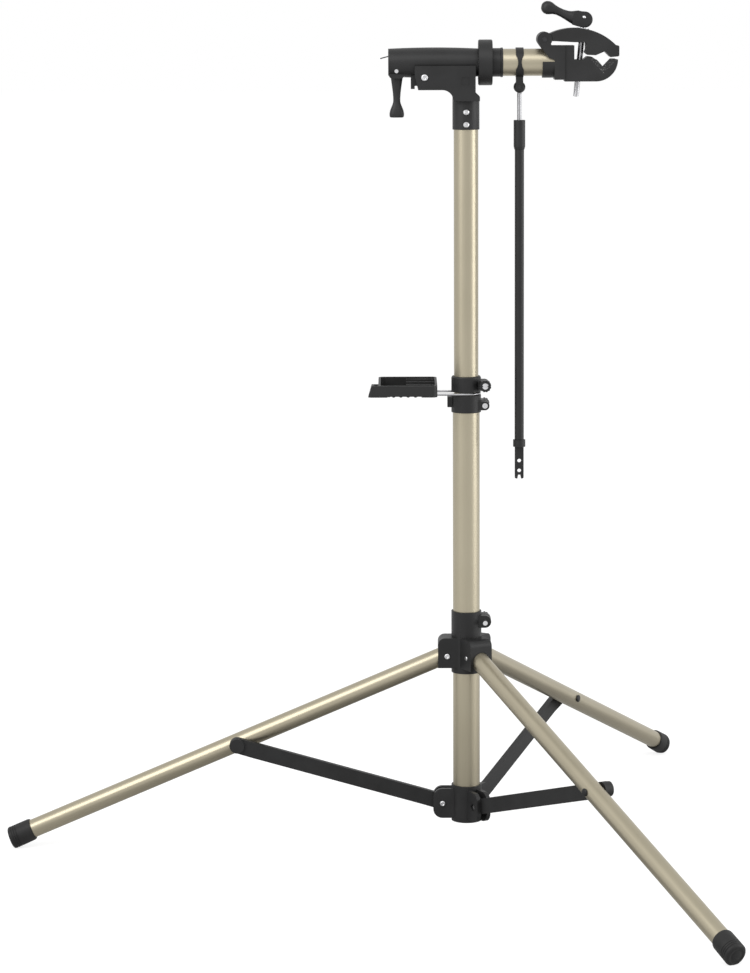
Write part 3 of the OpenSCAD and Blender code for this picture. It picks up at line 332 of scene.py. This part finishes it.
rubber = foot_rubber("foot_rubber")
cap_r, cap_len, leg_len = 0.014, 0.032, 0.625
groove, first_ring, ring_pitch, ring_count = 0.0006, 0.0198, 0.003, 3
wear_height, wear_depth = 0.02, 0.0018
for side, turn in bearings:
    mouth, way = down_leg(turn, leg_len - cap_len)
    profile = [(leg_r + 0.0001, 0.0005, 0), (leg_r + 0.0004, 0.0, 0), (cap_r - 0.001, 0.0001, 0),
               (cap_r - 0.0003, 0.0014, 0), (cap_r, 0.003, 0), (cap_r, 0.0196, 0)]
    for ring in range(ring_count):
        at = first_ring + ring * ring_pitch
        profile += [(cap_r - groove, at + 0.0003, 0), (cap_r - groove, at + 0.0011, 0),
                    (cap_r, at + 0.0014, 0), (cap_r, at + 0.0028, 0)]
    profile += [(cap_r - 0.0003, 0.0299, 0), (cap_r - 0.0011, 0.0311, 0), (cap_r - 0.0024, 0.0318, 0),
                (cap_r - 0.0042, cap_len, 0), (cap_r - 0.0046, 0.0317, 0), (cap_r - 0.0076, 0.0317, 0),
                (cap_r - 0.008, cap_len, 0), (0.001, cap_len, 0)]
    cup = bmesh.new()
    add_turned(cup, profile, frame_at(mouth, way), 64)
    for vert in cup.verts:
        vert.co.z = max(vert.co.z - wear_depth * max(0.0, 1 - vert.co.z / wear_height), 0.0)
    make_piece("ringed_foot_" + side, cup, rubber, "leg_" + side, ["foot_cap_" + side], 40)

# Struts: flat moulded nylon bars with a round boss at the leg's end.
# They run from the lower hub's ears to the legs' rivets and set how far the legs open.
strut_black = moulded_black("strut_black", (0.0155, 0.0155, 0.0158), (0.5, 0.64))
dress(["strut_left", "strut_rear", "strut_front"], strut_black, 0.0012, 3)

# Tool tray: one shallow nylon moulding with a large bin, four small ones and a waved front edge.
# It is snapped on the two prongs of a bent wire, which loops round the mast above the collar.
tray_black = moulded_black("tray_black", (0.0125, 0.0125, 0.0128), (0.45, 0.6), 1300.0)
dress(["tray"], tray_black, 0.0006)

# Head: a nylon bracket, screwed on the top of the mast, and a barrel that tilts between its cheeks.
# Two pale slippery bushes, pressed in the barrel, carry the arm's spindle.
head_black = moulded_black("head_black", (0.0125, 0.0125, 0.0128), (0.4, 0.54), 1900.0)
dress(["head_bracket", "head_barrel"], head_black, 0.0013, 3)
bush_white = moulded_black("bush_white", (0.52, 0.5, 0.43), (0.4, 0.5))
dress(["barrel_bushes"], bush_white, 0.0004)

# Quick lever: a moulded handle with a cam at its top, which presses the brake plunger on the spindle.
# It hangs in the slot at the barrel's rear end, on a steel pin.


def add_loft(shape, stations, points=32, power=2.7):
    loops = []
    for middle, across, deep in stations:
        loop = []
        for step in range(points):
            turn = 2 * math.pi * step / points
            wide = math.copysign(abs(math.cos(turn)) ** (2 / power), math.cos(turn))
            thick = math.copysign(abs(math.sin(turn)) ** (2 / power), math.sin(turn))
            loop.append(shape.verts.new(Vector(middle) + Vector(across) * wide + Vector(deep) * thick))
        loops.append(loop)
    join_loops(shape, loops)
    shape.faces.new(list(reversed(loops[0])))
    shape.faces.new(loops[-1])


lever_x, lever_z, cam_shift, cam_half = -0.0894, 1.0195, 0.001, 0.007
handle = bmesh.new()
add_loft(handle, [((lever_x + shift, 0, lever_z + drop), (wide, 0, 0), (0, thick, 0))
                  for drop, shift, wide, thick in (
    (-0.0020, 0.0006, 0.0082, 0.0068), (-0.0070, 0.0004, 0.0080, 0.0067), (-0.0130, 0.0003, 0.0071, 0.0062),
    (-0.0200, 0.0003, 0.0061, 0.0056), (-0.0280, 0.0003, 0.0051, 0.0050), (-0.0350, 0.0003, 0.0046, 0.0047),
    (-0.0395, 0.0003, 0.0046, 0.0047), (-0.0430, 0.0003, 0.0055, 0.0052), (-0.0470, 0.0003, 0.0072, 0.0060),
    (-0.0510, 0.0003, 0.0087, 0.0067), (-0.0545, 0.0003, 0.0094, 0.0069), (-0.0575, 0.0003, 0.0094, 0.0068),
    (-0.0592, 0.0003, 0.0089, 0.0063), (-0.0599, 0.0003, 0.0079, 0.0055), (-0.0600, 0.0003, 0.0060, 0.0040))])
add_turned(handle, [(0.0076, 0.0, 0), (0.0084, 0.0008, 0), (0.0084, 0.0132, 0), (0.0076, 0.014, 0)],
           frame_at((lever_x + cam_shift, -cam_half, lever_z), to_back))
make_piece("waisted_handle", handle, head_black, "quick_lever", ["quick_lever"], 45)

# Arm: an anodised tube on a steel spindle, which the head's brake holds at any turn.
# A moulded index ring and a collar close its end at the head.
arm_finish = champagne_anodised("champagne_arm", (0.0, math.radians(90), 0.0))
dress(["arm_tube"], arm_finish)
dress(["index_ring", "arm_collar"], head_black, 0.0011, 3)

# Clamp: a nylon body pushed on the arm's tube, with an upper jaw hinged on a pin.
# The lower jaw holds a V of black rubber with pale speckles, cut from a moulded strip.
clamp_black = moulded_black("clamp_black", (0.0145, 0.0145, 0.0148), (0.4, 0.54), 1900.0)
dress(["clamp_body", "upper_jaw"], clamp_black, 0.0013, 3)


def speckled_rubber(name):
    mat, tree, link, skin = new_material(name)
    place = tree.new("ShaderNodeTexCoord")
    chips = tree.new("ShaderNodeTexVoronoi")
    chips.inputs["Scale"].default_value = 620.0
    link.new(place.outputs["Object"], chips.inputs["Vector"])
    colour_by(mat, chips.outputs["Distance"], 0.16, (0.3, 0.3, 0.3), 0.26, (0.012, 0.012, 0.012))
    bump_by(mat, chips.outputs["Distance"], 0.35, 0.0002)
    skin.inputs["Roughness"].default_value = 0.72
    return mat


dress(["jaw_pad"], speckled_rubber("speckled_rubber"), 0.0006)

# Clamp rod: rolled steel thread with an eye at its upper end, screwed into the nut in the clamp body.
# It leans towards the mouth, and the cam lever turns on a pin through the eye.
rod_lean = math.radians(5.6)
rod_spot = Vector((0.1474, 0, 1.0461))
rod_way = Vector((math.sin(rod_lean), 0, math.cos(rod_lean)))
rod_r, rod_root, pitch = 0.004, 0.00338, 0.00125
rod_low, rod_top, neck_top, eye_up, sides = -0.060, 0.026, 0.0385, 0.0417, 28
rod_place = Matrix.Translation(rod_spot) @ Matrix.Rotation(rod_lean, 4, "Y")
thread = bmesh.new()
flanks = ((0.0, rod_root), (0.12, rod_root), (0.47, rod_r), (0.65, rod_r))
rows, per_turn = [], len(flanks)
for coil in range(-1, int((rod_top - rod_low) / pitch) + 1):
    for share, radius in flanks:
        row = []
        for step in range(sides):
            turn = 2 * math.pi * step / sides
            height = min(max(rod_low + pitch * (coil + share + step / sides), rod_low), rod_top)
            spot = Vector((radius * math.cos(turn), radius * math.sin(turn), height))
            row.append(thread.verts.new(rod_place @ spot))
        rows.append(row)
for count, (low, high) in enumerate(zip(rows, rows[1:])):
    for step in range(sides - 1):
        thread.faces.new((low[step], low[step + 1], high[step + 1], high[step]))
    if count + per_turn + 1 < len(rows):
        above, next_above = rows[count + per_turn], rows[count + per_turn + 1]
        thread.faces.new((low[sides - 1], above[0], next_above[0], high[sides - 1]))
bmesh.ops.remove_doubles(thread, verts=thread.verts, dist=0.0000004)
add_turned(thread, [(0.0026, rod_low - 0.0006, 0), (0.0033, rod_low, 0), (0.0033, rod_top, 0),
                    (0.0039, rod_top + 0.0004, 0), (0.0039, neck_top, 0)], rod_place, 36)
add_turned(thread, [(0.0055, -0.0036, 0), (0.006, -0.0031, 0), (0.006, 0.0031, 0), (0.0055, 0.0036, 0)],
           frame_at(rod_spot + rod_way * eye_up, to_back))
make_piece("threaded_rod", thread, zinc, "clamp_rod", ["clamp_rod"], 35)

# Cam lever: a moulded nylon handle with a round end, and a forked head that straddles the rod's eye.
# The head is eccentric, so that turning the lever pulls the rod up and the jaw shut.
cam_pin = rod_spot + rod_way * eye_up
grip = bmesh.new()
add_loft(grip, [(cam_pin + Vector((x, 0, z)), Vector((wide * rise[0], 0, wide * rise[1])), (0, thick, 0))
                for x, z, wide, thick, rise in (
    (-0.0100, -0.0012, 0.0098, 0.0090, (0.1, 0.995)), (-0.0130, -0.0006, 0.0088, 0.0088, (0.1, 0.995)),
    (-0.0170, 0.0004, 0.0075, 0.0080, (0.15, 0.989)), (-0.0220, 0.0025, 0.0061, 0.0069, (0.3, 0.954)),
    (-0.0280, 0.0053, 0.0052, 0.0062, (0.4, 0.917)), (-0.0340, 0.0081, 0.0052, 0.0062, (0.4, 0.917)),
    (-0.0385, 0.0099, 0.0062, 0.0068, (0.35, 0.937)), (-0.0420, 0.0112, 0.0078, 0.0078, (0.28, 0.96)),
    (-0.0456, 0.0122, 0.0087, 0.0085, (0.25, 0.968)), (-0.0495, 0.0131, 0.0081, 0.0082, (0.23, 0.973)),
    (-0.0524, 0.0138, 0.0062, 0.0066, (0.22, 0.975)), (-0.0540, 0.0142, 0.0038, 0.0042, (0.22, 0.975)),
    (-0.0545, 0.0143, 0.0018, 0.002, (0.22, 0.975)))])
cam_x, cam_z, cam_r = 0.0005, -0.003, 0.0105
outline = [(cam_x + cam_r * math.cos(math.radians(a)), cam_z + cam_r * math.sin(math.radians(a)))
           for a in range(-105, 80, 10)]
outline += [(-0.003, 0.0076), (-0.007, 0.0086), (-0.012, 0.0077), (-0.0145, 0.001), (-0.015, -0.0094),
            (-0.008, -0.0117)]
middle_x, middle_z, half_width, edge = -0.004, -0.0025, 0.011, 0.0008
for near, far in ((-0.009, -0.004), (0.004, 0.009)):
    sheets = []
    for depth, inset in ((near, edge), (near + edge, 0.0), (far - edge, 0.0), (far, edge)):
        draw_in = inset / half_width
        sheets.append([grip.verts.new(cam_pin + Vector((x - draw_in * (x - middle_x), depth,
                                                        z - draw_in * (z - middle_z))))
                       for x, z in outline])
    join_loops(grip, sheets)
    grip.faces.new(sheets[0])
    grip.faces.new(sheets[-1])
make_piece("cam_handle", grip, head_black, "clamp_lever", ["clamp_lever"], 40)

# Cam pin: a short steel rivet through the lever's fork and the rod's eye.
# Its ends are turned down and domed over.
rivet = bmesh.new()
add_turned(rivet, [(0.0006, -0.0098, 0), (0.0014, -0.0096, 0), (0.0019, -0.0091, 0), (0.0019, -0.0086, 0),
                   (0.0029, -0.0085, 0), (0.0029, 0.0085, 0), (0.0019, 0.0086, 0), (0.0019, 0.0091, 0),
                   (0.0014, 0.0096, 0), (0.0006, 0.0098, 0)],
           frame_at(cam_pin, to_back), 36)
make_piece("cam_rivet", rivet, zinc, "clamp_rod", ["cam_pin"], 40)

# Handlebar holder: a moulded strap snapped round the arm, and a bright rod that slides in a black tube.
# A sleeve locks the two, and a flat forked end with holes is pressed on the tube.
dress(["holder_strap", "lock_sleeve", "holder_tube", "holder_end"], hub_black, 0.0006)

# Studio: a paper floor that looks white and keeps its real shadow, white surroundings which the metal
# mirrors, and four soft lamps. Near the stand, the floor that the metal mirrors is painted dark: a painted
# shade.
# The camera stands at the photograph's place, about four metres in front.


def add_math(tree, link, operation, first, second):
    node = tree.new("ShaderNodeMath")
    node.operation = operation
    link.new(first, node.inputs[0])
    link.new(second, node.inputs[1])
    return node.outputs[0]


world = bpy.data.worlds.new("white_room")
bpy.context.scene.world = world
world.use_nodes = True
tree, link = world.node_tree.nodes, world.node_tree.links
tree.clear()
out = tree.new("ShaderNodeOutputWorld")
path = tree.new("ShaderNodeLightPath")
seen = tree.new("ShaderNodeBackground")
seen.inputs["Color"].default_value = (1, 1, 1, 1)
seen.inputs["Strength"].default_value = 1.0
soft = tree.new("ShaderNodeBackground")
soft.inputs["Color"].default_value = (1, 1, 1, 1)
soft.inputs["Strength"].default_value = 0.62
mirror = add_math(tree, link, "MAXIMUM", path.outputs["Is Glossy Ray"], path.outputs["Is Transmission Ray"])
shown = add_math(tree, link, "MAXIMUM", path.outputs["Is Camera Ray"], mirror)
pick = tree.new("ShaderNodeMixShader")
link.new(shown, pick.inputs[0])
link.new(soft.outputs[0], pick.inputs[1])
link.new(seen.outputs[0], pick.inputs[2])
link.new(pick.outputs[0], out.inputs["Surface"])

floor_mesh = bpy.data.meshes.new("floor")
floor_half, floor_z = 30.0, -0.0006
corners = ((-1, -1), (1, -1), (1, 1), (-1, 1))
floor_mesh.from_pydata([(x * floor_half, y * floor_half, floor_z) for x, y in corners], [], [(0, 1, 2, 3)])
floor = bpy.data.objects.new("floor", floor_mesh)
bpy.context.scene.collection.objects.link(floor)
paper, tree, link, skin = new_material("white_paper_painted_shade")
tree.remove(skin)
matte = tree.new("ShaderNodeBsdfDiffuse")
matte.inputs["Color"].default_value = (0.35, 0.35, 0.35, 1)
glow = tree.new("ShaderNodeEmission")
glow.inputs["Color"].default_value = (1, 1, 1, 1)
path = tree.new("ShaderNodeLightPath")
mirror = add_math(tree, link, "MAXIMUM", path.outputs["Is Glossy Ray"], path.outputs["Is Transmission Ray"])
# Painted shade: the glow that glossy rays see fades from 0.75 to nothing towards the stand, so the metal's
# undersides mirror a dark pool painted on the floor beneath it.
spot = tree.new("ShaderNodeNewGeometry")
reach = tree.new("ShaderNodeVectorMath")
reach.operation = "LENGTH"
link.new(spot.outputs["Position"], reach.inputs[0])
reflection_shade_ramp = tree.new("ShaderNodeMapRange")
reflection_shade_ramp.inputs["From Min"].default_value = 0.2
reflection_shade_ramp.inputs["From Max"].default_value = 1.0
reflection_shade_ramp.inputs["To Min"].default_value = 0.0
reflection_shade_ramp.inputs["To Max"].default_value = 0.75
link.new(reach.outputs["Value"], reflection_shade_ramp.inputs["Value"])
painted_shade_glow = add_math(tree, link, "MULTIPLY", mirror, reflection_shade_ramp.outputs["Result"])
white = tree.new("ShaderNodeValue")
white.outputs[0].default_value = 0.79
full = add_math(tree, link, "MULTIPLY", path.outputs["Is Camera Ray"], white.outputs[0])
link.new(add_math(tree, link, "ADD", painted_shade_glow, full), glow.inputs["Strength"])
lit = tree.new("ShaderNodeAddShader")
link.new(matte.outputs[0], lit.inputs[0])
link.new(glow.outputs[0], lit.inputs[1])
link.new(lit.outputs[0], tree["Material Output"].inputs["Surface"])
floor_mesh.materials.append(paper)


def softbox(name, place, aim, width, height, power):
    lamp = bpy.data.lights.new(name, "AREA")
    lamp.shape = "RECTANGLE"
    lamp.size = width
    lamp.size_y = height
    lamp.energy = power
    box = bpy.data.objects.new(name, lamp)
    box.location = place
    box.rotation_mode = "QUATERNION"
    box.rotation_quaternion = (Vector(aim) - Vector(place)).to_track_quat("-Z", "Y")
    bpy.context.scene.collection.objects.link(box)


softbox("right_strip", (3.2, -0.5, 1.1), (0, 0, 0.6), 2.1, 2.6, 56)
softbox("left_wall", (-3.0, -2.2, 1.6), (0, 0, 0.6), 1.6, 2.2, 14)
softbox("top_sheet", (0.2, -2.1, 3.1), (0, 0, 0.6), 2.4, 1.6, 21)
softbox("upper_left", (-1.7, -1.9, 2.3), (-0.2, 0, 0.3), 1.6, 1.6, 34)

camera_data = bpy.data.cameras.new("photo_camera")
camera = bpy.data.objects.new("photo_camera", camera_data)
bpy.context.scene.collection.objects.link(camera)
camera_data.sensor_fit = "AUTO"
camera_data.sensor_width = 36.0
camera_data.lens = 118.3956
camera_data.shift_y = -0.2
camera_data.clip_start = 0.05
camera_data.clip_end = 100.0
camera.location = (-0.0915, -4.12741, 1.13)
pan, pitch_down, roll = math.radians(0.3681), math.radians(5.4834), math.radians(-0.2044)
aim = Matrix.Rotation(pan, 3, "Z") @ Matrix.Rotation(math.radians(90) - pitch_down, 3, "X")
camera.rotation_euler = (aim @ Matrix.Rotation(roll, 3, "Z")).to_euler()
bpy.context.scene.camera = camera
bpy.context.scene.view_settings.view_transform = "Standard"
